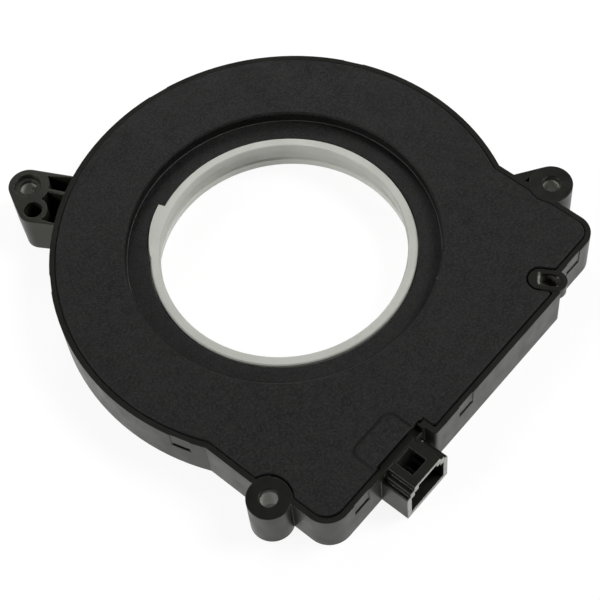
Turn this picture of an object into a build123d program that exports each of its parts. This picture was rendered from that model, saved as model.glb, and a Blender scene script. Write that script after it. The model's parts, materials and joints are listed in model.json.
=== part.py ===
"""Steering angle sensor: a flat ring-shaped housing with a turning nylon hub.

Frame: the origin is on the hub axis at the back face of the housing, +Z points
out of the cover, and +X runs along the straight connector side, which faces -Y.
All lengths are millimetres and all angles are degrees.
"""

import math
import os

from build123d import *

# Sunk ring of the cover, from which the hub and the front of the case are stepped
recess_radius = 33.7
recess_drop = 2.5
recess_floor_thickness = 1.1
recess_wall = 1.2
recess_edge_chamfer = 0.4

# Housing shell
body_radius = 50.0
housing_height = 11.0
wall = 2.0
floor_thickness = 1.4
overlap = 0.2
rim_width = 1.15
front_band = 16.7
right_band = 10.1
left_band = 10.9
left_shoulder_step = 1.5
left_shoulder_length = 17.0
left_shoulder_setback = 16.4
corner_radius_left = 5.2
corner_radius_right = 4.6
thick_front_step = 2.8
thick_front_start = 7.5
thick_front_slot_overlap = 0.7
thick_corner_radius = 0.9

# Screw bosses, on one circle about the hub axis
boss_circle_radius = 58.9
boss_radius = 4.6
left_web_width = 5.0
screw_bore_radius = 1.85
bore_chamfer = 0.15
bore_relief_radius = 2.9
bore_relief_depth = 4.2
front_boss_angles = {"left": -142.0, "right": -37.4}
web_root_rise = 7.38
web_root_radius = 0.7
web_pocket_depth = 6.0
web_pocket_size = 1.0
web_pocket_offset = 0.8
web_pocket_drop = 3.0
web_pocket_turn = 15.0

# Left ear with its screw boss and a round socket
ear_boss_angle = 113.3
ear_boss_radius = 4.25
ear_drop = 0.6
ear_rim_width = 1.5
ear_floor = 1.6
ear_rib_width = 0.9
ear_rib_angle = 113.2
ear_boss_land = 0.6
ear_countersink_radius = 2.85
ear_countersink_depth = 0.6
ear_socket_circle_radius = 55.7
ear_socket_angle = 119.1
ear_socket_bore_radius = 2.0
ear_socket_wall = 1.2
ear_root_radius = 0.6
ear_root_angles = [108.4, 121.9]

# Locating slot beside the right boss
slot_from_right = 16.9
slot_from_front = 1.0
slot_angle = -60.0
slot_boss_length = 8.1
slot_boss_width = 4.8
slot_rise = 0.2
slot_skirt_height = 3.5
slot_foot_height = 2.4
slot_foot_taper = 2.0
slot_shift = 0.3
slot_length = 3.5
slot_width = 3.1
slot_depth = 3.2
slot_mouth_length = 5.6
slot_ramp_width = 2.8
slot_ramp_depth = 0.7

# Connector shroud
shroud_from_left = 21.7
shroud_reach = 6.7
shroud_half_width = 6.3
shroud_shoulder_drop = 2.5
shroud_ledge_half_width = 5.3
shroud_ledge_drop = 1.3
shroud_key_half_width = 4.1
shroud_key_drop = 0.1
shroud_wall = 1.2
shroud_top_wall = 0.8
shroud_edge_radius = 0.35
socket_depth = 6.7
latch_window_width = 4.3
latch_window_length = 4.3
latch_window_setback = 2.0
notch_reach = 7.0
notch_side_gap = 0.2
notch_depth = 1.3

# Snap windows and the hooks that sit in them
window_width = 3.9
window_height = 0.9
window_drop = 4.0
relief_width = 4.5
relief_depth = 0.15
hook_clearance = 0.25
hook_thickness = 1.0
hook_gap = 0.1
hook_tip_drop = 1.1
hook_nose_setback = 0.9
ring_window_angles = [-163.9, 140.0, 75.0, 22.0]
window_from_left = 9.6
window_from_shroud = 17.4
window_from_right = 9.2

# Cover
cover_thickness = 1.4
cover_rise = 0.4
cover_gap = 0.15
cover_edge_chamfer = 0.3
cover_corner_radius = 0.6
cover_opening_clearance = 0.35
cover_notch_side = 1.0
cover_notch_end = 0.6
cover_connector_gap = 0.35
lug_notch_clearance = 0.35
pad_left_reach = 6.7
pad_right_reach = 6.1
pad_length = 6.9
pad_height = 0.8
pad_slope = 1.2
pad_corner_radius = 2.2

# Rotor hub with its ring gear
hub_top_rise = 0.5
hub_collar_inset = 5.15
hub_lip_width = 2.05
hub_lip_length = 2.0
hub_wall = 0.45
hub_skirt_wall = 0.8
hub_skirt_bore_length = 1.8
hub_journal_step = 1.35
hub_shoulder_step = 1.75
hub_cover_clearance = 0.3
hub_running_clearance = 0.07
hub_back_gap = 0.2
hub_edge_chamfer = 0.25
hub_axial_gap = 0.1
hub_lug_start_angle = 106.5
hub_lug_end_angle = 133.0
hub_lug_rise = 1.3
hub_lug_fade = 0.33
hub_lug_root = 0.8
hub_lug_thickness = 0.35
bearing_height = 3.1
bearing_wall = 1.3

# Gear train
gear_module = 0.8
pressure_angle = 20.0
dedendum = 1.25
gear_backlash = 0.08
mesh_extra = 0.03
gear_shoulder_step = 0.7
gear_face_inset = 0.4
measuring_teeth = {"a": 22, "b": 20}
measuring_angle = {"a": -125.0, "b": -65.0}
measuring_bottom_gap = 0.1
axle_radius = 1.6
axle_clearance = 0.05
axle_end_gap = 0.3
gear_hub_radius = 3.0
magnet_radius = 3.0
magnet_height = 1.2
magnet_seat_gap = 0.02
magnet_cup_wall = 0.9
magnet_cup_web = 0.9
magnet_proud = 0.3
magnet_air_gap = 0.45

# Circuit board and its posts
board_drop = 3.1
board_thickness = 1.0
board_wall_clearance = 3.8
board_ring_clearance = 0.7
board_back_land = 4.5
board_boss_clearance = 0.7
post_radius = 1.9
post_pilot_radius = 0.85
post_pilot_depth = 4.5
board_hole_radius = 1.05
screw_shank_radius = 0.8
screw_shank_length = 4.2
screw_head_radius = 1.6
screw_head_height = 0.7
screw_head_chamfer = 0.25
screw_recess_radius = 0.55
screw_recess_depth = 0.4

# Chips and other components: body length, width and height
chip_height = 0.75
chip_stand_off = 0.1
chip_edge_chamfer = 0.15
lead_reach = 0.9
lead_thickness = 0.2
lead_width_share = 0.4
small_chip_size = (4.9, 3.9)
small_chip_pitch = 1.27
square_chip_size = (7.0, 7.0)
square_chip_pitch = 0.8
power_chip_size = (6.5, 3.5)
power_chip_pitch = 2.3
crystal_size = (3.2, 2.5, 0.7)
capacitor_size = (2.0, 1.25, 0.8)
resistor_size = (1.6, 0.8, 0.5)
passive_edge_chamfer = 0.08

# Places on the board: angle about the hub, and distance out from the board's ring edge
post_places = [(-149.4, 8.6), (-93.15, 8.1), (-32.0, 6.85)]
microcontroller_place = (-79.6, 6.1)
transceiver_place = (-108.0, 8.0)
regulator_place = (-130.0, 16.6)
crystal_place = (-67.7, 6.5)
capacitor_places = [
    (-122.6, 14.5),
    (-119.1, 12.7),
    (-114.1, 10.4),
    (-126.5, 19.9),
    (-88.4, 8.8),
    (-69.4, 11.0),
]
resistor_places = [
    (-126.7, 11.3),
    (-123.6, 9.6),
    (-64.9, 11.7),
    (-59.7, 8.9),
    (-100.7, 5.3),
    (-100.1, 7.7),
]

# Connector terminals
terminal_count = 4
terminal_pitch = 2.2
terminal_size = 0.64
terminal_height = 3.4
terminal_reach = 3.4
terminal_bend_radius = 0.7
terminal_board_setback = 4.9
terminal_board_rise = 0.6
terminal_hole_clearance = 0.12

# Levels that follow from the sizes above
rim_z = housing_height
cover_top = rim_z + cover_rise
cover_seat = cover_top - cover_thickness
recess_top = rim_z - recess_drop
recess_bottom = recess_top - recess_floor_thickness
hub_top = recess_top + hub_top_rise
hub_shoulder_z = recess_bottom - hub_cover_clearance
ring_gear_z = bearing_height + hub_axial_gap
ring_gear_top = hub_shoulder_z - gear_shoulder_step
measuring_low = ring_gear_z + gear_face_inset
measuring_high = ring_gear_top - gear_face_inset
ear_top = rim_z - ear_drop
slot_top = rim_z + slot_rise
window_z = rim_z - window_drop
board_bottom = rim_z - board_drop
board_top = board_bottom + board_thickness
magnet_top = board_bottom - chip_stand_off - chip_height - magnet_air_gap
magnet_floor = magnet_top - magnet_height
axle_bore_top = magnet_floor - magnet_cup_web
axle_top = axle_bore_top - axle_end_gap
shroud_key_top = rim_z - shroud_key_drop
shroud_ledge_top = rim_z - shroud_ledge_drop
shroud_body_top = rim_z - shroud_shoulder_drop

# Places that follow from the sizes above
front_y = -(recess_radius + front_band)
right_side_x = recess_radius + right_band
left_side_x = -(recess_radius + left_band)
left_shoulder_x = left_side_x - left_shoulder_step
left_shoulder_y = front_y + left_shoulder_setback
shroud_x = left_side_x + shroud_from_left
shroud_front_y = front_y - shroud_reach
socket_back_y = shroud_front_y + socket_depth
slot_x = right_side_x - slot_from_right
slot_y = front_y + slot_from_front
thick_front_y = front_y - thick_front_step
thick_front_left_x = shroud_x + thick_front_start
notch_right_x = shroud_x + notch_reach
front_window_x = [
    left_side_x + window_from_left,
    shroud_x + window_from_shroud,
    right_side_x - window_from_right,
]
cover_front_y = front_y + rim_width + cover_gap
terminal_board_y = front_y + terminal_board_setback

# Radii that follow from the sizes above
hub_collar_radius = recess_radius - hub_collar_inset
hub_lip_bore_radius = hub_collar_radius - hub_lip_width
hub_bore_radius = hub_collar_radius - hub_wall
hub_skirt_bore_radius = hub_collar_radius - hub_skirt_wall
hub_journal_radius = hub_collar_radius + hub_journal_step
hub_shoulder_radius = hub_collar_radius + hub_shoulder_step
bearing_radius = hub_journal_radius + hub_running_clearance
ring_teeth = round(2 * (recess_radius - gear_module) / gear_module)
board_ring_radius = recess_radius + recess_wall + board_ring_clearance
ear_socket_outer = ear_socket_bore_radius + ear_socket_wall


def polar_xy(radius, angle):
    """A point in plan, from its radius and its angle in degrees."""
    turn = math.radians(angle)
    return (radius * math.cos(turn), radius * math.sin(turn))


def board_xy(place):
    """A place on the board, from its angle and its distance from the ring edge."""
    angle, distance = place
    return polar_xy(board_ring_radius + distance, angle)


def prism(face, bottom, top):
    """A flat outline pulled up from one level to another."""
    return extrude(Pos(0, 0, bottom) * face, top - bottom)


def disc(radius, bottom, top, at=(0, 0)):
    """A plain round column."""
    return prism(Pos(*at) * Circle(radius), bottom, top)


def block(x_range, y_range, z_range):
    """A rectangular block between two corners."""
    ranges = (x_range, y_range, z_range)
    size = [high - low for low, high in ranges]
    centre = [(high + low) / 2 for low, high in ranges]
    return Pos(*centre) * Box(*size)


def plan_rectangle(x_range, y_range, radii=None):
    """A rectangle in plan; radii maps a (side, end) corner to its fillet."""
    width = x_range[1] - x_range[0]
    depth = y_range[1] - y_range[0]
    centre = ((x_range[0] + x_range[1]) / 2, (y_range[0] + y_range[1]) / 2)
    outline = Pos(*centre) * Rectangle(width, depth)
    for corner, radius in (radii or {}).items():
        spot = Vector(x_range[corner[0]], y_range[corner[1]], 0)
        vertex = outline.vertices().sort_by_distance(spot)[0]
        outline = fillet(vertex, radius)
    return outline


def strip(start, end, width):
    """A straight bar in plan between two points."""
    angle = math.degrees(math.atan2(end[1] - start[1], end[0] - start[0]))
    middle = [(a + b) / 2 for a, b in zip(start, end)]
    return Pos(*middle) * Rot(0, 0, angle) * Rectangle(math.dist(start, end), width)


boss_points = {
    side: polar_xy(boss_circle_radius, angle)
    for side, angle in front_boss_angles.items()
}
web_root = (right_side_x - web_root_radius, boss_points["right"][1] + web_root_rise)
ear_boss_point = polar_xy(boss_circle_radius, ear_boss_angle)
ear_socket_point = polar_xy(ear_socket_circle_radius, ear_socket_angle)
post_points = [board_xy(place) for place in post_places]


def body_outline():
    """Plan of the housing wall: a ring joined to the straight-sided front."""
    front = plan_rectangle(
        (left_side_x, right_side_x),
        (front_y, 0),
        {(0, 0): corner_radius_left, (1, 0): corner_radius_right},
    )
    shoulder = plan_rectangle(
        (left_shoulder_x, 0), (left_shoulder_y, left_shoulder_y + left_shoulder_length)
    )
    thick_front = plan_rectangle(
        (thick_front_left_x, slot_x - thick_front_slot_overlap),
        (thick_front_y, 0),
        {(0, 0): thick_corner_radius},
    )
    return Circle(body_radius) + front + shoulder + thick_front


def boss_keep_out(side, grow=0.0):
    """A front boss in plan, carried outward to leave nothing thin beside it."""
    radius = boss_radius + grow
    outward = Pos(radius, 0) * Rectangle(2 * radius, 2 * radius)
    place = Pos(*boss_points[side]) * Rot(0, 0, front_boss_angles[side])
    return place * (Circle(radius) + outward)


def slot_outline(length, width, shift=0.0):
    """A stadium on the locating slot's centre line."""
    place = Pos(slot_x, slot_y) * Rot(0, 0, slot_angle) * Pos(shift, 0)
    return place * SlotOverall(length, width)


def between(low_outline, low, high_outline, high):
    """A solid that blends from one outline to another above it."""
    faces = [(Pos(0, 0, low) * low_outline).faces()[0]]
    faces.append((Pos(0, 0, high) * high_outline).faces()[0])
    return loft(faces)


def slot_boss():
    """The boss round the locating slot, drawn in at its foot to meet the wall."""
    skirt = slot_top - slot_skirt_height
    full = slot_outline(slot_boss_length, slot_boss_width)
    shrink = 2 * slot_foot_taper
    foot = slot_outline(slot_boss_length - shrink, slot_boss_width - shrink)
    return prism(full, skirt, slot_top) + between(foot, skirt - slot_foot_height, full, skirt)


def slot_hollow():
    """The locating slot, with a ramp at each end of its mouth."""
    straight = slot_outline(slot_length, slot_width, slot_shift)
    low = slot_outline(slot_length, slot_ramp_width, slot_shift)
    high = slot_outline(slot_mouth_length, slot_ramp_width, slot_shift)
    hollow = prism(straight, slot_top - slot_depth, slot_top + 1)
    return hollow + between(low, slot_top - slot_ramp_depth, high, slot_top)


def ear_outline(inset=0.0):
    """Plan of the left ear: a web drawn round its boss, its socket and the ring."""
    circles = [
        Pos(*ear_boss_point) * Circle(ear_boss_radius - inset),
        Pos(*ear_socket_point) * Circle(ear_socket_outer - inset),
    ]
    for angle in ear_root_angles:
        root = polar_xy(body_radius - inset, angle)
        circles.append(Pos(*root) * Circle(ear_root_radius))
    edges = [edge for circle in circles for edge in circle.edges()]
    return make_hull(edges)


def left_ear():
    """The ear with its screw boss, its round socket and two open pockets."""
    ear = prism(ear_outline(), 0, ear_top)
    kept = Circle(body_radius - overlap)
    kept += Pos(*ear_boss_point) * Circle(ear_boss_radius + ear_boss_land)
    kept += Pos(*ear_socket_point) * Circle(ear_socket_outer)
    kept += strip(ear_boss_point, polar_xy(body_radius - wall / 2, ear_rib_angle), ear_rib_width)
    pockets = ear_outline(ear_rim_width) - kept
    ear -= prism(pockets, ear_floor, ear_top + 1)
    ear -= disc(ear_socket_bore_radius, ear_floor, ear_top + 1, ear_socket_point)
    sink_floor = ear_top - ear_countersink_depth
    ear -= disc(ear_countersink_radius, sink_floor, ear_top + 1, ear_boss_point)
    return ear


def left_web():
    """Plan of the bar that ties the left boss to the wall, wherever it stands."""
    root = polar_xy(body_radius, front_boss_angles["left"])
    return strip(boss_points["left"], root, left_web_width)


def right_web():
    """Plan of the web that carries the right boss."""
    circles = [
        Pos(*boss_points["right"]) * Circle(boss_radius),
        Pos(*web_root) * Circle(web_root_radius),
    ]
    edges = [edge for circle in circles for edge in circle.edges()]
    return make_hull(edges)


def right_web_pocket():
    """The small three-sided pocket in the top of the right web."""
    corner = Pos(right_side_x + web_pocket_offset, web_root[1] - web_pocket_drop)
    pocket = corner * RegularPolygon(web_pocket_size, 3, rotation=web_pocket_turn)
    pocket -= Pos(*boss_points["right"]) * Circle(boss_radius + overlap)
    return prism(pocket, rim_z - web_pocket_depth, rim_z + 1)


def shroud_profile(side_inset=0.0, top_inset=0.0, bottom=0.0):
    """Front view of the connector: a wide body, a ledge and a key on top."""
    steps = [
        (shroud_half_width, shroud_body_top),
        (shroud_ledge_half_width, shroud_ledge_top),
        (shroud_key_half_width, shroud_key_top),
    ]
    outline = None
    for half_width, top in steps:
        width = 2 * (half_width - side_inset)
        height = top - top_inset - bottom
        step = Pos(0, bottom + height / 2) * Rectangle(width, height)
        outline = step if outline is None else outline + step
    return outline


shroud_plane = Plane(origin=(shroud_x, shroud_front_y, 0), x_dir=(1, 0, 0), z_dir=(0, -1, 0))


def connector_shroud():
    """The connector shell in front of the wall, before its socket is cut."""
    depth = front_y + wall - shroud_front_y
    shell = extrude(shroud_plane * shroud_profile(), -depth)
    edges = shell.edges().filter_by(Axis.Y).sort_by(Axis.Z)[2:]
    return fillet(edges, shroud_edge_radius)


def socket_cavity():
    """The opening for the plug and the latch window above it."""
    opening = shroud_profile(shroud_wall, shroud_top_wall, shroud_wall)
    cavity = extrude(shroud_plane * opening, -socket_depth)
    back = shroud_front_y + latch_window_setback
    half = latch_window_width / 2
    window = block(
        (shroud_x - half, shroud_x + half),
        (back, back + latch_window_length),
        (shroud_key_top - 2 * shroud_wall, shroud_key_top + 1),
    )
    return cavity + window


def terminal_x():
    """The X positions of the terminals across the socket."""
    first = shroud_x - terminal_pitch * (terminal_count - 1) / 2
    return [first + terminal_pitch * index for index in range(terminal_count)]


def terminal(x):
    """A square pin from the socket, through the wall and up into the board."""
    tip_y = socket_back_y - terminal_reach
    line = FilletPolyline(
        (x, tip_y, terminal_height),
        (x, terminal_board_y, terminal_height),
        (x, terminal_board_y, board_top + terminal_board_rise),
        radius=terminal_bend_radius,
    )
    start = Plane(origin=(x, tip_y, terminal_height), z_dir=(0, 1, 0))
    return sweep(start * Rectangle(terminal_size, terminal_size), path=line)


def window_places():
    """Where each snap window is: its wall point and outward direction."""
    places = [(polar_xy(body_radius, angle), angle) for angle in ring_window_angles]
    for x in front_window_x:
        in_thick_part = thick_front_left_x < x < slot_x
        places.append(((x, thick_front_y if in_thick_part else front_y), -90.0))
    return places


def wall_box(place, along, inward, outward, bottom, top):
    """A block across the wall at a snap window, set square to the wall."""
    point, angle = place
    middle = Pos((outward - inward) / 2, 0, (bottom + top) / 2)
    size = (inward + outward, along, top - bottom)
    return Pos(*point) * Rot(0, 0, angle) * middle * Box(*size)


def gear_outline(teeth):
    """An involute gear with a tooth centred on +X."""
    pitch = gear_module * teeth / 2
    base = pitch * math.cos(math.radians(pressure_angle))
    tip = pitch + gear_module
    root = pitch - dedendum * gear_module
    flank_start = max(base, root)
    middle = (flank_start + tip) / 2
    half_at_pitch = math.pi / (2 * teeth) - gear_backlash / (4 * pitch)

    def involute(radius):
        roll = math.acos(min(1.0, base / radius))
        return math.tan(roll) - roll

    def half_angle(radius):
        return half_at_pitch + involute(pitch) - involute(radius)

    def point(radius, angle):
        return (radius * math.cos(angle), radius * math.sin(angle))

    step = 2 * math.pi / teeth
    low = half_angle(flank_start)
    has_root_line = flank_start > root + 0.001
    edges = []
    for index in range(teeth):
        centre = step * index
        rising = [point(r, centre - half_angle(r)) for r in (flank_start, middle, tip)]
        falling = [point(r, centre + half_angle(r)) for r in (tip, middle, flank_start)]
        foot = point(root, centre - low)
        other_foot = point(root, centre + low)
        tooth = [ThreePointArc(*rising), Line(rising[2], falling[0]), ThreePointArc(*falling)]
        if has_root_line:
            tooth = [Line(foot, rising[0]), *tooth, Line(falling[2], other_foot)]
        edges += tooth
        edges.append(Line(other_foot, point(root, centre + step - low)))
    return make_face(edges)


def measuring_centre(name):
    """Plan position of a measuring gear, in mesh with the ring gear."""
    distance = gear_module * (ring_teeth + measuring_teeth[name]) / 2 + mesh_extra
    return polar_xy(distance, measuring_angle[name])


def mesh_turn(name):
    """The turn that puts a gap of the gear on the ring gear's nearest tooth."""
    teeth = measuring_teeth[name]
    line_angle = measuring_angle[name]
    ring_step = 360 / ring_teeth
    nearest = ring_step * round(line_angle / ring_step)
    gap_angle = line_angle + 180 - (nearest - line_angle) * ring_teeth / teeth
    return gap_angle + 180 / teeth


def cut_screw_bore(shell, point, top):
    """Bore a boss right through, widen it from the back and chamfer its mouth."""
    shell -= disc(screw_bore_radius, -1, top + 1, point)
    shell -= disc(bore_relief_radius, -1, bore_relief_depth, point)
    mouth = Cone(screw_bore_radius, screw_bore_radius + bore_chamfer, bore_chamfer)
    return shell - Pos(*point, top - bore_chamfer / 2) * mouth


def housing():
    """Floor, wall, bosses, ear, locating slot, connector shell and posts."""
    outline = body_outline()
    inside = offset(outline, -wall, kind=Kind.INTERSECTION)
    for side in boss_points:
        inside -= boss_keep_out(side)
    inside -= slot_outline(slot_boss_length, slot_boss_width)

    for point in boss_points.values():
        outline += Pos(*point) * Circle(boss_radius)
    outline += left_web()
    outline += right_web()
    shell = prism(outline, 0, rim_z) - right_web_pocket()
    shell += left_ear()
    shell += slot_boss()
    shell += connector_shroud()

    shell -= prism(inside, floor_thickness, rim_z + 1)
    shell -= prism(cover_outline(cover_gap), cover_seat, rim_z + 2)
    shell -= disc(bearing_radius, -1, rim_z)
    shell -= socket_cavity()
    shell -= block(
        (shroud_x + shroud_key_half_width + notch_side_gap, notch_right_x),
        ((thick_front_y + front_y) / 2, front_y + wall),
        (rim_z - notch_depth, rim_z + 1),
    )
    shell -= slot_hollow()
    for point in boss_points.values():
        shell = cut_screw_bore(shell, point, rim_z)
    shell = cut_screw_bore(shell, ear_boss_point, ear_top)

    low = window_z - window_height / 2
    high = window_z + window_height / 2
    for place in window_places():
        shell -= wall_box(place, window_width, wall + 1, 1, low, high)
        shell -= wall_box(place, relief_width, relief_depth, 1, low, rim_z + 1)

    bearing = disc(bearing_radius + bearing_wall, 0, bearing_height)
    shell += bearing - disc(bearing_radius, -1, rim_z)
    for name in measuring_teeth:
        shell += disc(axle_radius, floor_thickness - overlap, axle_top, measuring_centre(name))
    for point in post_points:
        post = disc(post_radius, floor_thickness - overlap, board_bottom, point)
        shell += post - disc(post_pilot_radius, board_bottom - post_pilot_depth, rim_z, point)
    for x in terminal_x():
        shell -= terminal(x)
    return shell


def cover_outline(grow=0.0):
    """Plan of the cover inside the housing rim, cut back round what stands up."""
    inset = rim_width + cover_gap - grow
    gap = 2 * cover_gap - grow
    outline = offset(body_outline(), -inset, kind=Kind.INTERSECTION)
    for side in boss_points:
        outline -= boss_keep_out(side, gap)
    outline -= slot_outline(slot_boss_length + 2 * gap, slot_boss_width + 2 * gap)
    left = shroud_x - shroud_key_half_width - cover_notch_side + grow
    right = notch_right_x + cover_notch_end - grow
    back = cover_front_y + cover_connector_gap - grow
    outline -= plan_rectangle((left, right), (thick_front_y - 1, back))
    return outline


def connector_pad():
    """The raised pad on the cover behind the connector, with sloped sides."""
    left = shroud_x - pad_left_reach
    right = shroud_x + pad_right_reach
    front = cover_front_y + cover_connector_gap
    back = cover_front_y + pad_length
    rounded = {(0, 1): pad_corner_radius, (1, 1): pad_corner_radius}
    base = plan_rectangle((left, right), (front, back), rounded)
    top = plan_rectangle((left + pad_slope, right - pad_slope), (front, back - pad_slope), rounded)
    return between(base, cover_top, top, cover_top + pad_height)


def cover():
    """The lid: an outer plate, a sunk ring round the hub, a pad and hooks."""
    outline = offset(cover_outline(), -cover_corner_radius, kind=Kind.INTERSECTION)
    outline = offset(outline, cover_corner_radius, kind=Kind.ARC)
    plate = prism(outline, cover_seat, cover_top)
    plate = chamfer(plate.faces().sort_by(Axis.Z)[-1].edges(), cover_edge_chamfer)
    plate -= disc(recess_radius, 0, cover_top + 1)
    mouth = plate.faces().sort_by(Axis.Z)[-1].edges().filter_by(GeomType.CIRCLE)
    mouth = [edge for edge in mouth if abs(edge.radius - recess_radius) < 0.01]
    plate = chamfer(mouth, recess_edge_chamfer)

    ring = disc(recess_radius + recess_wall, recess_bottom, cover_seat + overlap)
    ring -= disc(recess_radius, recess_top, cover_top)
    ring -= disc(hub_collar_radius + cover_opening_clearance, 0, cover_top)
    ring -= prism(lug_outline(lug_notch_clearance), 0, cover_top)
    lid = plate + ring + connector_pad()

    catch_low = window_z - (window_height - hook_clearance) / 2
    catch_high = window_z + (window_height - hook_clearance) / 2
    hook_low = window_z - hook_tip_drop
    hook_high = cover_seat + overlap
    along = window_width - 2 * hook_clearance
    inner = wall + hook_gap
    nose_depth = inner + overlap
    for place in window_places():
        lid += wall_box(place, along, inner + hook_thickness, -inner, hook_low, hook_high)
        lid += wall_box(place, along, nose_depth, -hook_nose_setback, catch_low, catch_high)
    return lid


def lug_outline(grow=0.0):
    """The marker lug on the hub flange: a sharp step that fades round the ring."""
    spread = math.degrees(grow / hub_collar_radius)
    start = hub_lug_start_angle - spread
    end = hub_lug_end_angle + spread
    middle = (start + end) / 2
    inner = hub_collar_radius - hub_lug_root
    outer = hub_collar_radius + hub_lug_rise + grow
    outer_middle = outer - hub_lug_fade
    outer_end = hub_collar_radius + grow
    step = Line(polar_xy(inner, start), polar_xy(outer, start))
    fade = ThreePointArc(
        polar_xy(outer, start), polar_xy(outer_middle, middle), polar_xy(outer_end, end)
    )
    close = Line(polar_xy(outer_end, end), polar_xy(inner, end))
    back = ThreePointArc(polar_xy(inner, end), polar_xy(inner, middle), polar_xy(inner, start))
    return make_face([step, fade, close, back])


def rotor_hub():
    """The nylon hub: flange, stepped bore, journal, marker lug and ring gear."""
    back = hub_back_gap
    lip_bottom = hub_top - hub_lip_length
    skirt_top = back + hub_skirt_bore_length
    profile = [
        (hub_lip_bore_radius + hub_edge_chamfer, hub_top),
        (hub_collar_radius - hub_edge_chamfer, hub_top),
        (hub_collar_radius, hub_top - hub_edge_chamfer),
        (hub_collar_radius, hub_shoulder_z),
        (hub_shoulder_radius, hub_shoulder_z),
        (hub_shoulder_radius, ring_gear_z),
        (hub_journal_radius, ring_gear_z),
        (hub_journal_radius, back),
        (hub_skirt_bore_radius, back),
        (hub_skirt_bore_radius, skirt_top),
        (hub_bore_radius, skirt_top + hub_bore_radius - hub_skirt_bore_radius),
        (hub_bore_radius, lip_bottom - hub_bore_radius + hub_lip_bore_radius),
        (hub_lip_bore_radius, lip_bottom),
        (hub_lip_bore_radius, hub_top - hub_edge_chamfer),
    ]
    ring = revolve(Plane.XZ * make_face(Polyline(*profile, close=True)), Axis.Z)
    teeth = prism(gear_outline(ring_teeth), ring_gear_z, ring_gear_top)
    teeth -= disc(hub_journal_radius, 0, rim_z)
    lug = prism(lug_outline(), hub_top - hub_lug_thickness, hub_top)
    return ring + teeth + lug


def measuring_gear(name):
    """A small gear on a housing axle, with a cup for its magnet."""
    seat_radius = magnet_radius + magnet_seat_gap
    gear = prism(gear_outline(measuring_teeth[name]), measuring_low, measuring_high)
    gear += disc(gear_hub_radius, floor_thickness + measuring_bottom_gap, measuring_high)
    gear += disc(seat_radius + magnet_cup_wall, measuring_low, magnet_top - magnet_proud)
    gear -= disc(axle_radius + axle_clearance, 0, axle_bore_top)
    gear -= disc(seat_radius, magnet_floor, rim_z)
    return Pos(*measuring_centre(name)) * Rot(0, 0, mesh_turn(name)) * gear


def gear_magnet(name):
    """The disc magnet glued into a measuring gear."""
    return disc(magnet_radius, magnet_floor, magnet_top, measuring_centre(name))


def circuit_board():
    """The board in the front of the housing, shaped round hub, bosses and slot."""
    outline = offset(body_outline(), -board_wall_clearance, kind=Kind.INTERSECTION)
    back_y = max(point[1] for point in post_points) + board_back_land
    outline &= plan_rectangle(
        (left_shoulder_x, right_side_x), (front_y + board_wall_clearance, back_y)
    )
    outline -= Circle(board_ring_radius)
    for side in boss_points:
        outline -= boss_keep_out(side, board_boss_clearance)
    grow = 2 * board_boss_clearance
    outline -= slot_outline(slot_boss_length + grow, slot_boss_width + grow)
    for point in post_points:
        outline -= Pos(*point) * Circle(board_hole_radius)
    hole = terminal_size / math.sqrt(2) + terminal_hole_clearance
    for x in terminal_x():
        outline -= Pos(x, terminal_board_y) * Circle(hole)
    board = prism(outline, board_bottom, board_top)
    return board.solids().sort_by(SortBy.VOLUME)[-1]


def bent_lead(along, edge, width):
    """One gull-wing lead that leaves a chip's side and ends flat on the board."""
    root = edge - overlap
    knee = edge + lead_reach / 2
    toe = edge + lead_reach
    high = chip_stand_off + chip_height / 2
    side = [
        (root, high),
        (knee, high),
        (knee, lead_thickness),
        (toe, lead_thickness),
        (toe, 0),
        (knee - lead_thickness, 0),
        (knee - lead_thickness, high - lead_thickness),
        (root, high - lead_thickness),
    ]
    profile = Plane.YZ * make_face(Polyline(*side, close=True))
    return Pos(along, 0, 0) * extrude(profile, width / 2, both=True)


def leaded_chip(at, size, leads_per_side, pitch, sides=2):
    """A moulded chip with bent leads on two or four sides, standing on z = 0."""
    length, width = size
    body = Pos(*at, chip_stand_off + chip_height / 2) * Box(length, width, chip_height)
    chip = chamfer(body.faces().sort_by(Axis.Z)[-1].edges(), chip_edge_chamfer)
    spans = {0: width, 180: width}
    if sides == 4:
        spans.update({90: length, 270: length})
    for turn, span in spans.items():
        for index in range(leads_per_side):
            along = (index - (leads_per_side - 1) / 2) * pitch
            lead = bent_lead(along, span / 2, lead_width_share * pitch)
            chip += Pos(*at) * Rot(0, 0, turn) * lead
    return chip


def passive(place, size, turn=0.0):
    """A small moulded or ceramic block with eased edges, on the board's top."""
    length, width, height = size
    body = chamfer(Box(length, width, height).edges().filter_by(Axis.X), passive_edge_chamfer)
    return Pos(*board_xy(place), board_top + height / 2) * Rot(0, 0, turn) * body


def board_screw(point):
    """A pan-head screw that holds the board on a post."""
    top = board_top + screw_head_height
    head = disc(screw_head_radius, board_top, top)
    head = chamfer(head.edges().sort_by(Axis.Z)[-1], screw_head_chamfer)
    head += disc(screw_shank_radius, board_top - screw_shank_length, top)
    head -= prism(RegularPolygon(screw_recess_radius, 6), top - screw_recess_depth, top + 1)
    return Pos(*point) * head


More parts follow.
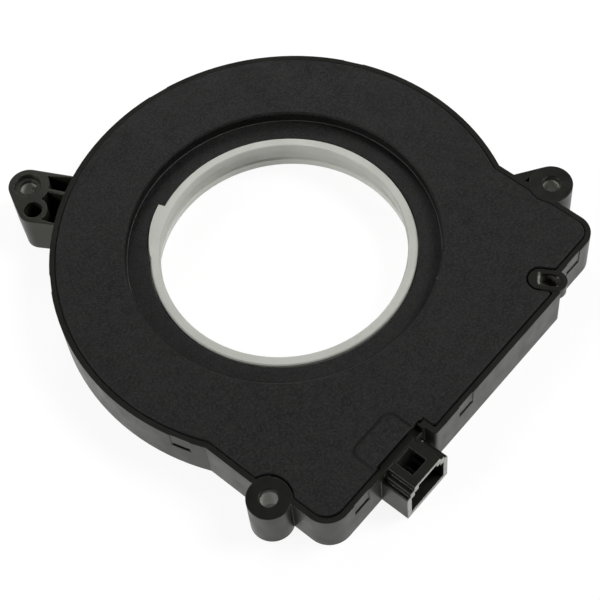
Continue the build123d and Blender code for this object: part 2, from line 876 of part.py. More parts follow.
def board_pieces():
    """Every chip and other component on the board."""
    on_top = Pos(0, 0, board_top)
    under = Pos(0, 0, board_bottom) * Rot(180, 0, 0)
    pieces = {}
    for name in measuring_teeth:
        x, y = measuring_centre(name)
        sensor = leaded_chip((x, -y), small_chip_size, 4, small_chip_pitch)
        pieces["angle_sensor_chip_" + name] = under * sensor
    at = board_xy(microcontroller_place)
    pieces["microcontroller"] = on_top * leaded_chip(at, square_chip_size, 8, square_chip_pitch, 4)
    at = board_xy(transceiver_place)
    pieces["bus_transceiver"] = on_top * leaded_chip(at, small_chip_size, 4, small_chip_pitch)
    at = board_xy(regulator_place)
    pieces["voltage_regulator"] = on_top * leaded_chip(at, power_chip_size, 3, power_chip_pitch)
    pieces["clock_crystal"] = passive(crystal_place, crystal_size, 90)
    for index, place in enumerate(capacitor_places, start=1):
        pieces[f"capacitor_{index}"] = passive(place, capacitor_size)
    for index, place in enumerate(resistor_places, start=1):
        pieces[f"resistor_{index}"] = passive(place, resistor_size, 90)
    return pieces


def build():
    """Make every piece, keyed by its name."""
    pieces = {
        "housing": housing(),
        "cover": cover(),
        "rotor_hub": rotor_hub(),
        "circuit_board": circuit_board(),
    }
    for name in measuring_teeth:
        pieces["measuring_gear_" + name] = measuring_gear(name)
        pieces["gear_magnet_" + name] = gear_magnet(name)
    pieces.update(board_pieces())
    for index, x in enumerate(terminal_x(), start=1):
        pieces[f"connector_terminal_{index}"] = terminal(x)
    for index, point in enumerate(post_points, start=1):
        pieces[f"board_screw_{index}"] = board_screw(point)
    return pieces


os.makedirs("parts", exist_ok=True)
for node, shape in build().items():
    export_step(shape, f"parts/{node}.step")
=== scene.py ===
"""Looks for the steering angle sensor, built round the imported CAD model.

Everything is in metres, in the CAD frame: the sensor lies on its back face at
z = 0, its hub turns about Z and its connector faces -Y. Colours are linear,
and lamps are in watts.
"""

import json
import math

import bpy
from mathutils import Matrix, Vector

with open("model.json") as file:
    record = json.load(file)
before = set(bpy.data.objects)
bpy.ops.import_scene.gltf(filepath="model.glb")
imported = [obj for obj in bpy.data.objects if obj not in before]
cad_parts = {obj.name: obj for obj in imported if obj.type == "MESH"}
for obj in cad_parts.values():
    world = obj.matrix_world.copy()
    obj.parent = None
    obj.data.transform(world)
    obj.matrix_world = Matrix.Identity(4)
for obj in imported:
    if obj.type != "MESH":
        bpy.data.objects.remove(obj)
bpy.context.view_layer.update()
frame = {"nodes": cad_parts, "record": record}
nodes = frame["nodes"]

MM = 0.001

# Camera, at the photograph's viewpoint
CAMERA_PLACE = Vector((-132.33, -143.09, 315.94)) * MM
CAMERA_TURN = math.radians(-43.37)
CAMERA_TILT = math.radians(30.583)
CAMERA_ROLL = math.radians(-7.21)
CAMERA_LENS = 102.28
CAMERA_NEAR = 0.01
CAMERA_FAR = 20

# Lamps: the direction they stand in, their distance, width and power
LAMPS = {
    "key_softbox": ((0.75, -0.65, 1.1), 1.0, 0.45, 6.6),
    "left_softbox": ((-1.0, 0.45, 0.6), 1.0, 0.45, 4.5),
    "rear_softbox": ((-0.2, 1.0, 0.9), 1.0, 0.45, 0.7),
    "rear_right_softbox": ((0.83, 1.0, 1.05), 0.52, 0.2, 0.75),
}

# The studio's light at the horizon and overhead, which it reaches at a height
# of the view direction
STUDIO_LIGHT = (0.22, 0.02)
STUDIO_HEIGHT = 0.95
WHITE = (1, 1, 1, 1)

# The table: its width, its height under the sensor, its white, and how much
# of its own glow the camera and the mirrored rays see
TABLE_WIDTH = 6
TABLE_DROP = -0.02 * MM
TABLE_WHITE = (0.9, 0.9, 0.9, 1)
TABLE_GLOW = 1.05
GLOW_TO_CAMERA = 0.86
GLOW_TO_MIRRORS = 0.72

# Edge rounding that the shading gives to every edge
PLASTIC_EDGE = 0.3 * MM
NYLON_EDGE = 0.12 * MM
BOARD_EDGE = 0.08 * MM
SMALL_EDGE = 0.05 * MM
EDGE_SAMPLES = 6

# Width of the pale line along the edges of the black mouldings, partly rubbed
# wear and partly painted highlight, and the cosines between rounded and true
# normal at which it is full and starts
HOUSING_WEAR_AND_HIGHLIGHT = 0.3 * MM
COVER_WEAR_AND_HIGHLIGHT = 0.22 * MM
WEAR_AND_HIGHLIGHT_COSINES = (0.75, 0.98)
WEAR_AND_HIGHLIGHT_SAMPLES = 8

# A face whose normal rises less than this counts as a wall
WALL_NORMAL = 0.5

# The plane just behind the connector's front face, which is painted pale as a
# painted highlight
CONNECTOR_FRONT = -57.0 * MM

# The connector's shroud: its root, its two sides and the left side of its key
SHROUD_ROOT = -50.4 * MM
SHROUD_RIGHT = -16.5 * MM
SHROUD_SIDE = -29.3 * MM
SHROUD_LEFT = -25.4 * MM

# Just outside the wall of the screw bores, and how deep their dark mouth goes
# above the painted light on their walls
BORE_REACH = 1.9 * MM
BORE_SHADE = 1.1 * MM

# The locating slot, the depth of its rim, and the depth of the painted shade
# in its mouth, under which its walls and floor get painted light
SLOT_REACH = 3.2 * MM
SLOT_RIM = 0.05 * MM
SLOT_SHADE = 0.8 * MM

# The rim round the cover stands over this height; the bosses are this wide
RIM_FOOT = 10.9 * MM
BOSS_REACH = 4.8 * MM

# The thin skirt of the hub, which lets more light through, ends here; its
# paler tone is painted light
SKIRT_TOP = 2.0 * MM

# The sloped sides of the cover's pad lie between these heights
PAD_FOOT = 11.5 * MM
PAD_EDGE = 11.85 * MM

# The foot of the step down to the cover's sunk ring lies under this height,
# outside this radius
STEP_FOOT = 9.2 * MM
SUNK_RING = 32.0 * MM

# The cover's chamfered border lies in a dark seam, painted black as painted
# shade: outside this radius, under this height
STEP_REACH = 34.5 * MM
SEAM_TOP = 11.34 * MM

# The cover's hooks, which show in the wall windows and are painted black as
# painted shade, stand under this height
HOOK_TOP = 8.5 * MM

# Ranges that a value rises or falls over, and the one that most noise fills
RISING = (0.0, 1.0)
FALLING = (1.0, 0.0)
NOISE_RANGE = (0.3, 0.7)

# Places of the share, the two colours and the result in a colour Mix node
MIX_SHARE = 0
MIX_COLOURS = (6, 7)
MIX_RESULT = 2

# Every surface's index of refraction
SURFACE_IOR = 1.5

# Housing: the two tones that it drifts between, the tint of its mirrored
# light, then what lies on the tones: grain, dust, wear, marks, painted light
# and painted shade
HOUSING_TONES = (0.005, 0.005, 0.005), (0.008, 0.008, 0.007)
HOUSING_SHEEN = (1.0, 1.0, 0.87, 1.0)
HOUSING_GRAIN_TONE = (0.014, 0.014, 0.012)
HOUSING_DUST_TONE = (0.022, 0.022, 0.016)
HOUSING_WEAR_AND_HIGHLIGHT_TONE = (0.14, 0.14, 0.131)
SHROUD_WEAR_AND_HIGHLIGHT_TONE = (0.34, 0.34, 0.32)
# Painted light on the screw bores' walls, for the bright table they reflect
BORE_PAINTED_LIGHT_TONE = (0.50, 0.50, 0.46)
# Painted shade in the slot's mouth, and painted light on its deeper walls and
# floor
SLOT_PAINTED_SHADE_TONE = (0.012, 0.011, 0.009)
SLOT_FLOOR_PAINTED_LIGHT_TONE = (0.09, 0.087, 0.075)
# Pale marks, and the painted highlights on the slot's ramp and in its mouth
HOUSING_MARK_AND_GLINT_TONE = (0.32, 0.32, 0.30)
# Painted highlight on the connector's front face
CONNECTOR_FRONT_HIGHLIGHT_TONE = (0.40, 0.40, 0.37)
BLACK = (0.0, 0.0, 0.0)

# Housing: the sizes of its noises, and the depths of those that are relief
HOUSING_DRIFT_SIZE = 9 * MM
HOUSING_SMEAR_SIZE = 4 * MM
HOUSING_DUST_SIZE = 0.3 * MM
HOUSING_SPECK_SIZE = 0.35 * MM
HOUSING_SPECK_DEPTH = 0.012 * MM
HOUSING_FLOW_SIZE = 2.2 * MM
HOUSING_FLOW_DEPTH = 0.02 * MM
HOUSING_FLOW_STRETCH = (1.0, 0.35, 1.0)

# Shares of the housing's grain, dust, edges worn and with painted highlights,
# and dark rim, its roughness, and how much rougher or smoother a place is
HOUSING_GRAIN = {"to": (0.0, 0.5), "over": (0.5, 0.75)}
WALL_DUST = (0.55, 1.0)
SHROUD_CLEANER = -0.6
EDGES_WORN_AND_LIT = (0.12, 0.45)
LEFT_EDGES_WORN_AND_LIT = 0.5
RIM_DARKER = 0.85
HOUSING_SPECULAR = 0.32
HOUSING_ROUGHNESS = (0.30, 0.42)
RIM_ROUGHER = 0.4
BORE_SMOOTHER = -0.15

# Cover: the two tones that it drifts between, then what lies on them: grain,
# marks, wear, painted shade and painted highlights
COVER_TONES = (0.001, 0.001, 0.001), (0.004, 0.004, 0.0038)
COVER_MOTTLE_TONE = (0.010, 0.010, 0.0096)
COVER_GRAIN_TONE = (0.020, 0.020, 0.019)
# Pale edge lines, partly rubbed wear and partly painted highlight, and a
# painted highlight at the foot of the step
COVER_WEAR_AND_HIGHLIGHT_TONE = (0.085, 0.085, 0.082)
STEP_FOOT_HIGHLIGHT_TONE = (0.26, 0.26, 0.25)
DARK_MARK_TONE = (0.001, 0.001, 0.001)
SCUFF_TONE = (0.002, 0.002, 0.002)
PALE_SPECK_TONE = (0.3, 0.3, 0.28)
# Painted shade on the hooks that show in the wall windows
HOOK_PAINTED_SHADE_TONE = (0.001, 0.001, 0.001)

# Cover: the sizes of its noises, and the depth of its grain
COVER_DRIFT_SIZE = 14 * MM
COVER_SMEAR_SIZE = 6 * MM
COVER_MOTTLE_SIZE = 1.5 * MM
COVER_GRAIN_SIZE = 0.5 * MM
COVER_GRAIN_DEPTH = 0.08 * MM
COVER_GRAIN_HARSHNESS = 0.7

# Shares of the cover's mottle, grain, scuff, painted shade on the pad slope,
# and edges worn and with painted highlights, its roughness, and how much
# rougher its hooks are
COVER_MOTTLE = {"to": (0.0, 0.6), "over": (0.4, 0.6)}
COVER_GRAIN = {"to": (0.0, 0.9), "over": (0.46, 0.66)}
SCUFF_SHARE = 0.6
SLOPE_PAINTED_SHADE = 0.85
COVER_EDGES_WORN_AND_LIT = 0.9
COVER_SPECULAR = 0.25
COVER_ROUGHNESS = (0.56, 0.68)
HOOK_ROUGHER = 0.3

# Nylon: the two tones that it drifts between, its skirt's painted light and
# its grain
NYLON_TONES = (0.47, 0.475, 0.43), (0.535, 0.54, 0.50)
SKIRT_PAINTED_LIGHT_TONE = (0.66, 0.66, 0.62)
NYLON_GRAIN_TONE = (0.42, 0.41, 0.37)
NYLON_GRAIN = {"to": (0.0, 0.25), "over": (0.55, 0.75)}
NYLON_ROUGHNESS = (0.36, 0.5)
NYLON_SCATTER = 0.18
NYLON_SCATTER_COLOUR = (1.0, 0.9, 0.7)
NYLON_SCATTER_REACH = 0.35 * MM

# Nylon: the sizes of its noises, and the depths of those that are relief
NYLON_DRIFT_SIZE = 7 * MM
NYLON_SMEAR_SIZE = 3 * MM
NYLON_GRAIN_SIZE = 0.5 * MM
NYLON_GRAIN_DEPTH = 0.008 * MM
NYLON_STREAK_SIZE = 1.2 * MM
NYLON_STREAK_DEPTH = 0.01 * MM
NYLON_STREAK_STRETCH = (1.0, 1.0, 0.2)

# Solder mask: the two tones that it drifts between, and its weave
MASK_TONES = (0.008, 0.085, 0.03), (0.012, 0.12, 0.045)
MASK_ROUGHNESS = 0.35
MASK_DRIFT_SIZE = 6 * MM
WEAVE_TONE = (0.02, 0.15, 0.06)
WEAVE_SHARE = (0.0, 0.4)
WEAVE_SIZE = 0.6 * MM
WEAVE_DEPTH = 0.01 * MM
WEAVE_STRETCHES = (1.0, 0.12, 1.0), (0.12, 1.0, 1.0)

# Small parts: how far their roughness goes down and up, the size of its smear
# and the depth of the grain; then dark and light tone, roughness and grain
SMALL_PART_SMOOTHER = 0.06
SMALL_PART_ROUGHER = 0.08
SMALL_PART_SMEAR_SIZE = 1 * MM
SMALL_PART_DEPTH = 0.006 * MM
SMALL_PARTS = {
    "chip_resin": (
        (0.015, 0.015, 0.015), (0.03, 0.03, 0.03), 0.5, 0.1 * MM,
    ),
    "capacitor_ceramic": (
        (0.30, 0.20, 0.11), (0.38, 0.27, 0.16), 0.4, 0.12 * MM,
    ),
    "resistor_film": (
        (0.02, 0.02, 0.025), (0.04, 0.04, 0.05), 0.35, 0.1 * MM,
    ),
    "magnet_ferrite": (
        (0.05, 0.05, 0.055), (0.09, 0.09, 0.095), 0.55, 0.08 * MM,
    ),
}

# Plated metals: how far their roughness goes down and up, and the size and
# depth of their mottle; then dark and light tone and roughness
METAL_SMOOTHER = 0.08
METAL_ROUGHER = 0.1
METAL_MOTTLE_SIZE = 0.4 * MM
METAL_DEPTH = 0.004 * MM
METALS = {
    "tinned_metal": ((0.62, 0.62, 0.60), (0.74, 0.73, 0.70), 0.34),
    "screw_steel": ((0.45, 0.46, 0.48), (0.60, 0.61, 0.62), 0.3),
}

# Marks that the photograph shows: two ends and a radius, in mm
COVER_DARK_MARKS = [
    ((-29.37, 19.41, 11.4), (-29.3, 19.3, 11.4), 0.35),
    ((-32.1, 19.0, 11.4), (-31.1, 17.8, 11.4), 0.25),
]
COVER_SCUFF = ((-42.4, 17.5, 11.4), (-39.4, 18.5, 11.4), 0.5)
COVER_PALE_SPECK = ((13.05, -30.92, 11.2), (13.1, -30.9, 11.2), 0.4)
NOTCH_SPECK = ((-18.18, -52.05, 11.2), (-16.24, -50.5, 6.0), 0.28)
# The next two are no marks: a painted highlight on the slot's ramp and a
# painted glint in its mouth
SLOT_RAMP_HIGHLIGHT = ((27.1, -46.99, 10.9), (25.04, -48.5, 10.9), 0.45)
SLOT_GLINT = ((27.96, -50.95, 10.9), (26.73, -51.92, 10.9), 0.22)
WALL_DENT = ((12.3, -52.7, 0.1), (11.7, -53.2, 0.4), 0.3)
HOUSING_MARKS_AND_GLINTS = [NOTCH_SPECK, SLOT_RAMP_HIGHLIGHT, SLOT_GLINT, WALL_DENT]


class Graph:
    """A node tree with short ways to add to it."""

    def __init__(self, tree):
        self.nodes = tree.nodes
        self.links = tree.links

    def add(self, kind):
        """A new shader node."""
        return self.nodes.new("ShaderNode" + kind)

    def feed(self, socket, value):
        """Link another node's output to an input, or set the input."""
        if isinstance(value, bpy.types.NodeSocket):
            self.links.new(value, socket)
        else:
            socket.default_value = value

    def math(self, operation, *values):
        """A Math node over sockets and numbers."""
        node = self.add("Math")
        node.operation = operation
        for socket, value in zip(node.inputs, values):
            self.feed(socket, value)
        return node.outputs[0]

    def vector(self, operation, *values, output="Vector"):
        """A Vector Math node over sockets and tuples."""
        node = self.add("VectorMath")
        node.operation = operation
        for socket, value in zip(node.inputs, values):
            self.feed(socket, value)
        return node.outputs[output]

    def part(self, source, axis):
        """One coordinate of a vector socket."""
        split = self.add("SeparateXYZ")
        self.feed(split.inputs[0], source)
        return split.outputs[axis]

    def spread(self, value, to, over=NOISE_RANGE, curve="LINEAR"):
        """A value mapped to one range over another, and held at its ends."""
        node = self.add("MapRange")
        node.interpolation_type = curve
        node.inputs["From Min"].default_value = over[0]
        node.inputs["From Max"].default_value = over[1]
        node.inputs["To Min"].default_value = to[0]
        node.inputs["To Max"].default_value = to[1]
        self.feed(node.inputs["Value"], value)
        return node.outputs["Result"]

    def end(self, kind, share, first, second):
        """Send a mix of two shaders to a new output node."""
        mixed = self.add("MixShader")
        for socket, value in zip(mixed.inputs, (share, first, second)):
            self.feed(socket, value)
        self.feed(self.add(kind).inputs["Surface"], mixed.outputs[0])


class Shader(Graph):
    """A material with one Principled shader, laid out in object space."""

    def __init__(self, name, metallic=0.0, specular=0.5):
        self.material = bpy.data.materials.new(name)
        self.material.use_nodes = True
        super().__init__(self.material.node_tree)
        self.inputs = self.nodes["Principled BSDF"].inputs
        self.feed(self.inputs["Metallic"], metallic)
        self.feed(self.inputs["Specular IOR Level"], specular)
        self.feed(self.inputs["IOR"], SURFACE_IOR)
        self.place = self.add("TexCoord").outputs["Object"]

    def noise(self, size, detail=3.0, stretch=None, roughness=0.55):
        """Noise whose grains are about size metres across."""
        node = self.add("TexNoise")
        node.inputs["Scale"].default_value = 1 / size
        node.inputs["Detail"].default_value = detail
        node.inputs["Roughness"].default_value = roughness
        source = self.place
        if stretch:
            mapping = self.add("Mapping")
            mapping.inputs["Scale"].default_value = stretch
            self.feed(mapping.inputs["Vector"], source)
            source = mapping.outputs["Vector"]
        self.feed(node.inputs["Vector"], source)
        return node.outputs["Fac"]

    def mix(self, share, first, second):
        """A colour between two colours; each may be a socket or a tuple."""
        node = self.add("Mix")
        node.data_type = "RGBA"
        self.feed(node.inputs[MIX_SHARE], share)
        for index, colour in zip(MIX_COLOURS, (first, second)):
            if isinstance(colour, tuple):
                colour = (*colour, 1)
            self.feed(node.inputs[index], colour)
        return node.outputs[MIX_RESULT]

    def outside(self, mask):
        """1 where a mask is 0."""
        return self.math("SUBTRACT", 1.0, mask)

    def both(self, mask, other):
        """1 where both masks are 1; either may be a share instead."""
        return self.math("MULTIPLY", mask, other)

    def without(self, mask, other):
        """A mask less another one, and never under 0."""
        return self.math("MAXIMUM", self.math("SUBTRACT", mask, other), 0.0)

    def under(self, axis, limit):
        """1 where a coordinate is under a limit."""
        return self.math("LESS_THAN", self.part(self.place, axis), limit)

    def near(self, x, y, radius):
        """1 within a radius of an upright axis."""
        across = self.math("SUBTRACT", self.part(self.place, "X"), x)
        along = self.math("SUBTRACT", self.part(self.place, "Y"), y)
        square = self.math("MULTIPLY", across, across)
        square = self.math("MULTIPLY_ADD", along, along, square)
        return self.math("LESS_THAN", square, radius * radius)

    def in_well(self, mount, radius, depth):
        """1 within a radius of an upright mount's axis, and deep enough."""
        x, y, z = mount["pos_m"]
        top = z + mount["dims"].get("length_mm", 0.0) * MM / 2
        return self.both(self.near(x, y, radius), self.under("Z", top - depth))

    def on_walls(self):
        """1 on upright faces and those that look down."""
        normal = self.add("NewGeometry").outputs["Normal"]
        return self.math("LESS_THAN", self.part(normal, "Z"), WALL_NORMAL)

    def rounded(self, radius, samples):
        """The normal of edges that are rounded to a radius."""
        bevel = self.add("Bevel")
        bevel.samples = samples
        bevel.inputs["Radius"].default_value = radius
        return bevel.outputs["Normal"]

    def edges(self, radius):
        """Up to 1 on edges: how far a rounded normal leaves the true one."""
        true_normal = self.add("NewGeometry").outputs["Normal"]
        rounded = self.rounded(radius, WEAR_AND_HIGHLIGHT_SAMPLES)
        cosine = self.vector(
            "DOT_PRODUCT", rounded, true_normal, output="Value"
        )
        return self.spread(cosine, to=FALLING, over=WEAR_AND_HIGHLIGHT_COSINES)

    def stroke(self, mark):
        """1 at the middle of a mark's line, 0 at its radius."""
        start, end, radius = mark
        start = Vector(start) * MM
        along = Vector(end) * MM - start
        reach = self.vector("SUBTRACT", self.place, tuple(start))
        share = self.vector(
            "DOT_PRODUCT", reach, tuple(along), output="Value"
        )
        share = self.spread(share, to=RISING, over=(0.0, along.length_squared))
        nearest = self.vector("MULTIPLY", tuple(along), share)
        across = self.vector("SUBTRACT", reach, nearest)
        distance = self.vector("LENGTH", across, output="Value")
        return self.spread(distance, to=FALLING, over=(0.0, radius * MM))

    def drift(self, size, tones, detail=4):
        """A slow change between two tones."""
        share = self.spread(self.noise(size, detail), to=RISING)
        return self.mix(share, *tones)

    def colour(self, value):
        self.feed(self.inputs["Base Color"], value)

    def roughness(self, value):
        self.feed(self.inputs["Roughness"], value)

    def relief(self, layers, edge):
        """Stack bumps, each a (height, depth in metres), on rounded edges."""
        normal = self.rounded(edge, EDGE_SAMPLES)
        for height, depth in layers:
            bump = self.add("Bump")
            bump.inputs["Strength"].default_value = 1.0
            bump.inputs["Distance"].default_value = depth
            self.feed(bump.inputs["Height"], height)
            self.feed(bump.inputs["Normal"], normal)
            normal = bump.outputs["Normal"]
        self.feed(self.inputs["Normal"], normal)


def housing_plastic():
    """Smooth black moulding: dusty walls, marks, worn edges, painted light and
    shade.
    """
    shader = Shader("housing_plastic", specular=HOUSING_SPECULAR)
    shader.feed(shader.inputs["Specular Tint"], HOUSING_SHEEN)
    speck = shader.noise(HOUSING_SPECK_SIZE)
    grain = shader.spread(speck, **HOUSING_GRAIN)
    tone = shader.drift(HOUSING_DRIFT_SIZE, HOUSING_TONES)
    tone = shader.mix(grain, tone, HOUSING_GRAIN_TONE)
    smear = shader.noise(HOUSING_SMEAR_SIZE, detail=5)
    rough = shader.spread(smear, to=HOUSING_ROUGHNESS)

    # Dust on the walls, and less of it on the connector
    on_shroud = shader.both(
        shader.under("Y", SHROUD_ROOT), shader.under("X", SHROUD_RIGHT)
    )
    on_shroud = shader.without(on_shroud, shader.under("X", SHROUD_SIDE))
    dust = shader.spread(shader.noise(HOUSING_DUST_SIZE), to=WALL_DUST)
    dusty = shader.both(shader.on_walls(), dust)
    dusty = shader.math("MULTIPLY_ADD", on_shroud, SHROUD_CLEANER, dusty)
    dusty = shader.math("MAXIMUM", dusty, 0.0)
    tone = shader.mix(dusty, tone, HOUSING_DUST_TONE)

    # Painted light on the screw bores' walls, painted shade in the slot's
    # mouth and painted light on its floor, and the dark rim between the bosses
    on_rim = shader.outside(shader.under("Z", RIM_FOOT))
    for mount in frame["record"]["mounts"]:
        if mount["name"].startswith("screw_bore"):
            in_bore = shader.in_well(mount, BORE_REACH, BORE_SHADE)
            tone = shader.mix(in_bore, tone, BORE_PAINTED_LIGHT_TONE)
            rough = shader.math("MULTIPLY_ADD", in_bore, BORE_SMOOTHER, rough)
            x, y, _ = mount["pos_m"]
            on_rim = shader.without(on_rim, shader.near(x, y, BOSS_REACH))
        if mount["name"] == "locating_slot":
            in_slot = shader.in_well(mount, SLOT_REACH, SLOT_RIM)
            tone = shader.mix(in_slot, tone, SLOT_PAINTED_SHADE_TONE)
            slot_floor = shader.in_well(mount, SLOT_REACH, SLOT_SHADE)
            tone = shader.mix(slot_floor, tone, SLOT_FLOOR_PAINTED_LIGHT_TONE)
    tone = shader.mix(shader.both(on_rim, RIM_DARKER), tone, BLACK)
    shader.roughness(shader.math("MULTIPLY_ADD", on_rim, RIM_ROUGHER, rough))

    # Rubbed edges with painted highlights, most of all on the connector's left
    # side, then the marks and painted glints, and the painted highlight on the
    # connector's front face
    on_left = shader.both(on_shroud, shader.under("X", SHROUD_LEFT))
    rubbed_and_lit = shader.spread(on_shroud, to=EDGES_WORN_AND_LIT, over=RISING)
    rubbed_and_lit = shader.math("MULTIPLY_ADD", on_left, LEFT_EDGES_WORN_AND_LIT, rubbed_and_lit)
    # Pale edge lines: partly rubbed wear, partly painted highlight
    edges = shader.both(shader.edges(HOUSING_WEAR_AND_HIGHLIGHT), rubbed_and_lit)
    worn_and_lit = shader.mix(on_left, HOUSING_WEAR_AND_HIGHLIGHT_TONE, SHROUD_WEAR_AND_HIGHLIGHT_TONE)
    tone = shader.mix(edges, tone, worn_and_lit)
    for mark in HOUSING_MARKS_AND_GLINTS:
        tone = shader.mix(shader.stroke(mark), tone, HOUSING_MARK_AND_GLINT_TONE)
    # Painted highlight: the connector's front face is painted pale
    front = shader.under("Y", CONNECTOR_FRONT)
    shader.colour(shader.mix(front, tone, CONNECTOR_FRONT_HIGHLIGHT_TONE))

    flow = shader.noise(HOUSING_FLOW_SIZE, stretch=HOUSING_FLOW_STRETCH)
    layers = [(flow, HOUSING_FLOW_DEPTH), (speck, HOUSING_SPECK_DEPTH)]
    shader.relief(layers, PLASTIC_EDGE)
    return shader.material


def cover_plastic():
    """Black moulding with a fine spark-eroded texture, faint scuffs, and
    painted highlights and shade.
    """
    shader = Shader("cover_plastic", specular=COVER_SPECULAR)
    speck = shader.noise(
        COVER_GRAIN_SIZE, detail=4, roughness=COVER_GRAIN_HARSHNESS
    )
    mottle = shader.spread(shader.noise(COVER_MOTTLE_SIZE), **COVER_MOTTLE)
    grain = shader.spread(speck, **COVER_GRAIN)
    tone = shader.drift(COVER_DRIFT_SIZE, COVER_TONES)
    tone = shader.mix(mottle, tone, COVER_MOTTLE_TONE)
    tone = shader.mix(grain, tone, COVER_GRAIN_TONE)

    # Dark marks, a faint scuff and painted shade on the slope of the pad
    for mark in COVER_DARK_MARKS:
        tone = shader.mix(shader.stroke(mark), tone, DARK_MARK_TONE)
    scuff = shader.both(shader.stroke(COVER_SCUFF), SCUFF_SHARE)
    tone = shader.mix(scuff, tone, SCUFF_TONE)
    on_slope = shader.both(
        shader.outside(shader.under("Z", PAD_FOOT)),
        shader.under("Z", PAD_EDGE),
    )
    tone = shader.mix(shader.both(on_slope, SLOPE_PAINTED_SHADE), tone, BLACK)

    # Rubbed edges with painted highlights, and a paler painted highlight at
    # the foot of the step down to the sunk ring
    at_foot = shader.without(
        shader.under("Z", STEP_FOOT), shader.near(0.0, 0.0, SUNK_RING)
    )
    worn_and_lit = shader.mix(at_foot, COVER_WEAR_AND_HIGHLIGHT_TONE, STEP_FOOT_HIGHLIGHT_TONE)
    edges = shader.both(shader.edges(COVER_WEAR_AND_HIGHLIGHT), COVER_EDGES_WORN_AND_LIT)
    tone = shader.mix(edges, tone, worn_and_lit)

    # Painted shade in the seam round the cover, a pale speck, and painted
    # shade on the hooks in the windows
    in_seam = shader.both(
        shader.outside(shader.near(0.0, 0.0, STEP_REACH)),
        shader.under("Z", SEAM_TOP),
    )
    tone = shader.mix(in_seam, tone, BLACK)
    speckle = shader.stroke(COVER_PALE_SPECK)
    tone = shader.mix(speckle, tone, PALE_SPECK_TONE)
    in_window = shader.under("Z", HOOK_TOP)
    shader.colour(shader.mix(in_window, tone, HOOK_PAINTED_SHADE_TONE))

    smear = shader.noise(COVER_SMEAR_SIZE, detail=5)
    rough = shader.spread(smear, to=COVER_ROUGHNESS)
    rough = shader.math("MULTIPLY_ADD", in_window, HOOK_ROUGHER, rough)
    shader.roughness(rough)
    shader.relief([(speck, COVER_GRAIN_DEPTH)], PLASTIC_EDGE)
    return shader.material


def nylon():
    """Natural nylon: milky, satin, with faint moulding streaks."""
    shader = Shader("nylon")
    speck = shader.noise(NYLON_GRAIN_SIZE)
    grain = shader.spread(speck, **NYLON_GRAIN)
    tone = shader.drift(NYLON_DRIFT_SIZE, NYLON_TONES)
    # Painted light: the thin skirt is paler for the light that shines through
    # it
    tone = shader.mix(shader.under("Z", SKIRT_TOP), tone, SKIRT_PAINTED_LIGHT_TONE)
    shader.colour(shader.mix(grain, tone, NYLON_GRAIN_TONE))
    smear = shader.noise(NYLON_SMEAR_SIZE)
    shader.roughness(shader.spread(smear, to=NYLON_ROUGHNESS))
    shader.feed(shader.inputs["Subsurface Weight"], NYLON_SCATTER)
    shader.feed(shader.inputs["Subsurface Radius"], NYLON_SCATTER_COLOUR)
    shader.feed(shader.inputs["Subsurface Scale"], NYLON_SCATTER_REACH)
    streak = shader.noise(NYLON_STREAK_SIZE, stretch=NYLON_STREAK_STRETCH)
    layers = [(streak, NYLON_STREAK_DEPTH), (speck, NYLON_GRAIN_DEPTH)]
    shader.relief(layers, NYLON_EDGE)
    return shader.material


def laminate():
    """Green solder mask over a glass weave."""
    shader = Shader("board_mask")
    shader.roughness(MASK_ROUGHNESS)
    threads = [
        shader.noise(WEAVE_SIZE, detail=2, stretch=stretch)
        for stretch in WEAVE_STRETCHES
    ]
    tone = shader.drift(MASK_DRIFT_SIZE, MASK_TONES, detail=3)
    woven = shader.spread(threads[0], to=WEAVE_SHARE)
    shader.colour(shader.mix(woven, tone, WEAVE_TONE))
    shader.relief([(thread, WEAVE_DEPTH) for thread in threads], BOARD_EDGE)
    return shader.material


def small_part(name, dark, light, roughness, grain):
    """Moulded resin, ceramic or film on the components."""
    shader = Shader(name)
    speck = shader.noise(grain)
    shader.colour(shader.mix(shader.spread(speck, to=RISING), dark, light))
    smear = shader.noise(SMALL_PART_SMEAR_SIZE)
    rough = (roughness - SMALL_PART_SMOOTHER, roughness + SMALL_PART_ROUGHER)
    shader.roughness(shader.spread(smear, to=rough))
    shader.relief([(speck, SMALL_PART_DEPTH)], SMALL_EDGE)
    return shader.material


def metal(name, dark, light, roughness):
    """Plated metal with a soft mottled finish."""
    shader = Shader(name, metallic=1.0)
    mottle = shader.noise(METAL_MOTTLE_SIZE, detail=4)
    shader.colour(shader.mix(shader.spread(mottle, to=RISING), dark, light))
    rough = (roughness - METAL_SMOOTHER, roughness + METAL_ROUGHER)
    shader.roughness(shader.spread(mottle, to=rough))
    shader.relief([(mottle, METAL_DEPTH)], SMALL_EDGE)
    return shader.material


def make_materials():
    """One material for each of the record's material slots."""
    materials = {
        "housing_plastic": housing_plastic(),
        "cover_plastic": cover_plastic(),
        "natural_nylon": nylon(),
        "board_laminate": laminate(),
    }
    for slot, looks in SMALL_PARTS.items():
        materials[slot] = small_part(slot, *looks)
    for slot, looks in METALS.items():
        materials[slot] = metal(slot, *looks)
    return materials


def dress_nodes(materials):
    """Give each CAD node the material of its slot."""
    for row in frame["record"]["subparts"]:
        node = nodes[row["node"]]
        node.data.materials.clear()
        node.data.materials.append(materials[row["material_slot"]])


def add_camera():
    """The photograph's camera: a fitted place, turn, tilt and roll."""
    data = bpy.data.cameras.new("camera")
    data.lens = CAMERA_LENS
    data.clip_start = CAMERA_NEAR
    data.clip_end = CAMERA_FAR
    camera = bpy.data.objects.new("camera", data)
    bpy.context.scene.collection.objects.link(camera)
    turn = Matrix.Rotation(CAMERA_TURN, 4, "Z")
    tilt = Matrix.Rotation(CAMERA_TILT, 4, "X")
    roll = Matrix.Rotation(CAMERA_ROLL, 4, "Z")
    camera.matrix_world = Matrix.Translation(CAMERA_PLACE) @ turn @ tilt @ roll
    bpy.context.scene.camera = camera


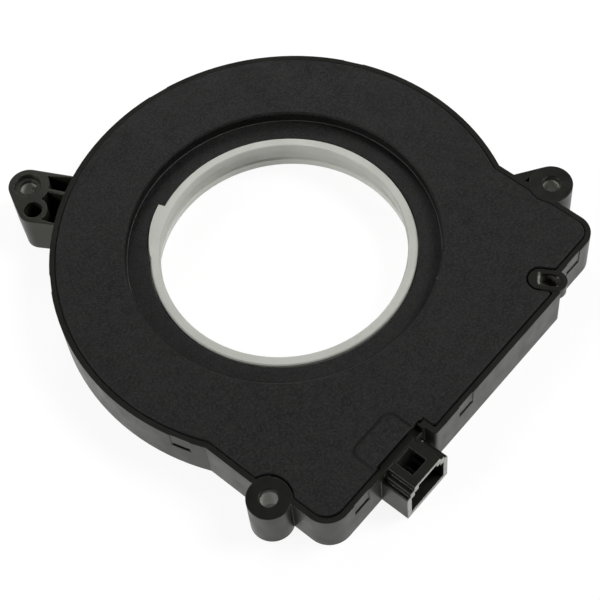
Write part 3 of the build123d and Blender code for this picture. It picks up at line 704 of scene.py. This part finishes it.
def add_floor():
    """A white table that shows as white and still takes the soft shadow."""
    bpy.ops.mesh.primitive_plane_add(
        size=TABLE_WIDTH, location=(0, 0, TABLE_DROP)
    )
    floor = bpy.context.object
    floor.name = "floor"
    material = bpy.data.materials.new("table_white")
    material.use_nodes = True
    graph = Graph(material.node_tree)
    graph.nodes.clear()
    matt = graph.add("BsdfDiffuse")
    matt.inputs["Color"].default_value = TABLE_WHITE
    glow = graph.add("Emission")
    glow.inputs["Strength"].default_value = TABLE_GLOW
    rays = graph.add("LightPath").outputs
    share = graph.math(
        "MAXIMUM", rays["Is Glossy Ray"], rays["Is Transmission Ray"]
    )
    share = graph.math("MULTIPLY", share, GLOW_TO_MIRRORS)
    share = graph.math(
        "MULTIPLY_ADD", rays["Is Camera Ray"], GLOW_TO_CAMERA, share
    )
    graph.end("OutputMaterial", share, matt.outputs[0], glow.outputs[0])
    floor.data.materials.append(material)


def add_world():
    """A studio: pale near the table, dim overhead, and white to the camera."""
    world = bpy.data.worlds.new("studio")
    bpy.context.scene.world = world
    world.use_nodes = True
    graph = Graph(world.node_tree)
    graph.nodes.clear()
    height = graph.part(graph.add("TexCoord").outputs["Generated"], "Z")
    strength = graph.spread(
        height, to=STUDIO_LIGHT, over=(0.0, STUDIO_HEIGHT), curve="SMOOTHSTEP"
    )
    light = graph.add("Background")
    graph.feed(light.inputs["Strength"], strength)
    white = graph.add("Background")
    white.inputs["Color"].default_value = WHITE
    white.inputs["Strength"].default_value = 1.0
    to_camera = graph.add("LightPath").outputs["Is Camera Ray"]
    graph.end("OutputWorld", to_camera, light.outputs[0], white.outputs[0])


def add_lamp(name, direction, distance, size, power):
    """A soft square lamp that faces the sensor from a direction."""
    data = bpy.data.lights.new(name, "AREA")
    data.size = size
    data.energy = power
    lamp = bpy.data.objects.new(name, data)
    bpy.context.scene.collection.objects.link(lamp)
    away = Vector(direction).normalized()
    lamp.location = away * distance
    lamp.rotation_euler = away.to_track_quat("Z", "Y").to_euler()


bpy.context.scene.view_settings.view_transform = "Standard"
add_camera()
add_floor()
add_world()
for lamp_name, lamp_looks in LAMPS.items():
    add_lamp(lamp_name, *lamp_looks)
dress_nodes(make_materials())
